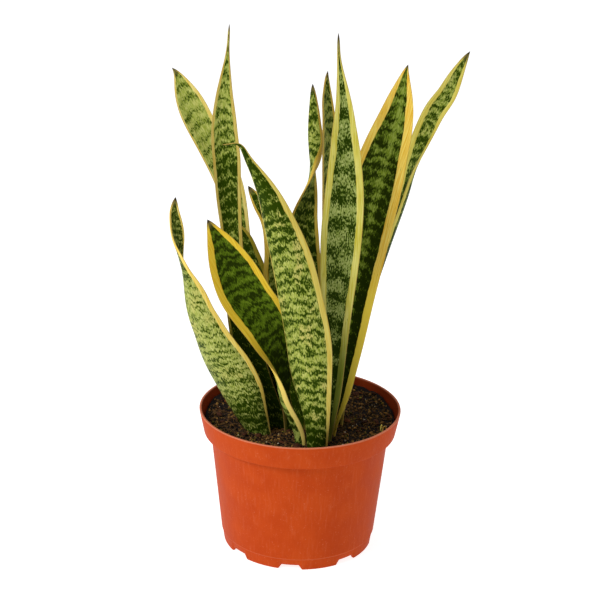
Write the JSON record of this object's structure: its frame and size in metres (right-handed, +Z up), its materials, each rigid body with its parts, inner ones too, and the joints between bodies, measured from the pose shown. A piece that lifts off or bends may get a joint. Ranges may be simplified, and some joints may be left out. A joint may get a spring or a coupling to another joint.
{
  "type": "potted snake plant",
  "caption": "Variegated snake plant with upright yellow-edged leaves, growing in peat in a round plastic nursery pot.",
  "frame": {"origin": "on the pot's axis, at the flat middle of its base, on the surface that it stands on", "axes": "+Z up along the pot's axis, -Y towards the plant's front, +X to the right as seen from the front"},
  "size_m": [0.217, 0.1536, 0.396],
  "materials": {
    "pot_plastic": "satin moulded terracotta-coloured plastic",
    "peat": "damp crumbly peat",
    "leaf": "waxy satin leaf skin, banded green with yellow margins"
  },
  "bodies": {
    "root": {"pot": "pot_plastic", "peat": "peat", "front_leaf": "leaf", "front_left_leaf": "leaf", "outer_left_leaf": "leaf", "tall_left_leaf": "leaf", "upper_left_leaf": "leaf", "middle_left_leaf": "leaf", "short_leaf": "leaf", "back_left_leaf": "leaf", "back_leaf": "leaf", "tall_right_leaf": "leaf", "broad_right_leaf": "leaf", "outer_right_leaf": "leaf"}
  },
  "joints": []
}
